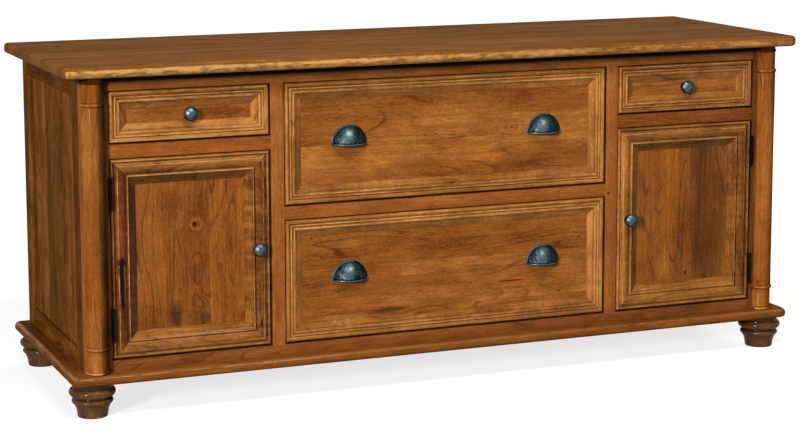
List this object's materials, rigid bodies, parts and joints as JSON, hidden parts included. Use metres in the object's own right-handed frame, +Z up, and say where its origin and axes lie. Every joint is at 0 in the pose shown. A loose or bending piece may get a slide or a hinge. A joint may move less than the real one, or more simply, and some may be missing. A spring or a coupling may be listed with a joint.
{
  "type": "office credenza",
  "caption": "Wide stained-wood office credenza with hanging-file drawers, small drawers over doors, turned corner columns and bun feet.",
  "frame": {"origin": "on the floor, under the middle of the worktop", "axes": "+X to the right seen from the front, -Y out of the front, +Z up"},
  "size_m": [1.829, 0.61, 0.785],
  "materials": {
    "cherry_top": "stained cherry, satin lacquer",
    "cherry_base": "stained cherry, satin lacquer",
    "cherry_feet": "stained cherry, darker in the turnings, satin lacquer",
    "cherry_turned": "stained cherry, satin lacquer",
    "cherry_frame": "stained cherry, satin lacquer",
    "cherry_sides": "stained cherry, satin lacquer",
    "cherry_moulding": "stained cherry with glazed grooves, satin lacquer",
    "cherry_panel": "stained cherry, satin lacquer",
    "birch_plywood": "clear lacquered plywood",
    "drawer_box_wood": "clear lacquered",
    "antique_pewter": "antique pewter plating, worn bright on the high spots",
    "black_iron": "black, semi-matt",
    "catch_plastic": "dark brown, matt",
    "slide_zinc": "zinc plated",
    "rail_aluminium": "mill finish"
  },
  "bodies": {
    "carcase": {"worktop": "cherry_top", "base_board": "cherry_base", "feet": "cherry_feet", "left_column": "cherry_turned", "right_column": "cherry_turned", "corner_stiles": "cherry_frame", "mullions": "cherry_frame", "top_rail": "cherry_frame", "bottom_rail": "cherry_frame", "door_head_rails": "cherry_frame", "center_rail": "cherry_frame", "left_side_frame": "cherry_sides", "right_side_frame": "cherry_sides", "left_side_panel": "cherry_sides", "right_side_panel": "cherry_sides", "left_partition": "birch_plywood", "right_partition": "birch_plywood", "back_panel": "birch_plywood", "case_floor": "birch_plywood", "drawer_decks": "birch_plywood", "adjustable_shelves": "birch_plywood", "top_stretchers": "birch_plywood", "slide_blocks": "birch_plywood", "hinge_frame_leaves": "black_iron", "hinge_pins": "black_iron", "magnetic_catches": "catch_plastic", "cabinet_slides": "slide_zinc", "shelf_pins": "slide_zinc"},
    "left_drawer": {"left_drawer_frame": "cherry_moulding", "left_drawer_panel": "cherry_panel", "left_drawer_knob": "antique_pewter", "left_drawer_box": "drawer_box_wood", "left_drawer_slides": "slide_zinc"},
    "left_door": {"left_door_frame": "cherry_moulding", "left_door_panel": "cherry_panel", "left_door_knob": "antique_pewter", "left_door_fittings": "black_iron"},
    "right_drawer": {"right_drawer_frame": "cherry_moulding", "right_drawer_panel": "cherry_panel", "right_drawer_knob": "antique_pewter", "right_drawer_box": "drawer_box_wood", "right_drawer_slides": "slide_zinc"},
    "right_door": {"right_door_frame": "cherry_moulding", "right_door_panel": "cherry_panel", "right_door_knob": "antique_pewter", "right_door_fittings": "black_iron"},
    "upper_file_drawer": {"upper_file_frame": "cherry_moulding", "upper_file_panel": "cherry_panel", "upper_file_pulls": "antique_pewter", "upper_file_box": "drawer_box_wood", "upper_file_rails": "rail_aluminium", "upper_file_slides": "slide_zinc"},
    "upper_file_runner": {"upper_file_runners": "slide_zinc"},
    "lower_file_drawer": {"lower_file_frame": "cherry_moulding", "lower_file_panel": "cherry_panel", "lower_file_pulls": "antique_pewter", "lower_file_box": "drawer_box_wood", "lower_file_rails": "rail_aluminium", "lower_file_slides": "slide_zinc"},
    "lower_file_runner": {"lower_file_runners": "slide_zinc"}
  },
  "joints": [
    {"name": "left_drawer_slide", "type": "slide", "parent": "carcase", "child": "left_drawer", "axis": [0, -1, 0], "range_m": [0, 0.33]},
    {"name": "left_door_hinge", "type": "hinge", "parent": "carcase", "child": "left_door", "pos_m": [-0.81188, -0.2705, 0.3515], "axis": [0, 0, -1], "range_deg": [0, 130]},
    {"name": "right_drawer_slide", "type": "slide", "parent": "carcase", "child": "right_drawer", "axis": [0, -1, 0], "range_m": [0, 0.33]},
    {"name": "right_door_hinge", "type": "hinge", "parent": "carcase", "child": "right_door", "pos_m": [0.81188, -0.2705, 0.3515], "axis": [0, 0, 1], "range_deg": [0, 130]},
    {"name": "upper_file_slide", "type": "slide", "parent": "carcase", "child": "upper_file_drawer", "axis": [0, -1, 0], "range_m": [0, 0.48]},
    {"name": "upper_file_runner_slide", "type": "slide", "parent": "carcase", "child": "upper_file_runner", "axis": [0, -1, 0], "range_m": [0, 0.24]},
    {"name": "lower_file_slide", "type": "slide", "parent": "carcase", "child": "lower_file_drawer", "axis": [0, -1, 0], "range_m": [0, 0.48]},
    {"name": "lower_file_runner_slide", "type": "slide", "parent": "carcase", "child": "lower_file_runner", "axis": [0, -1, 0], "range_m": [0, 0.24]}
  ],
  "couplings": [
    {"joint": "upper_file_runner_slide", "follows": "upper_file_slide", "ratio": 0.5},
    {"joint": "lower_file_runner_slide", "follows": "lower_file_slide", "ratio": 0.5}
  ]
}
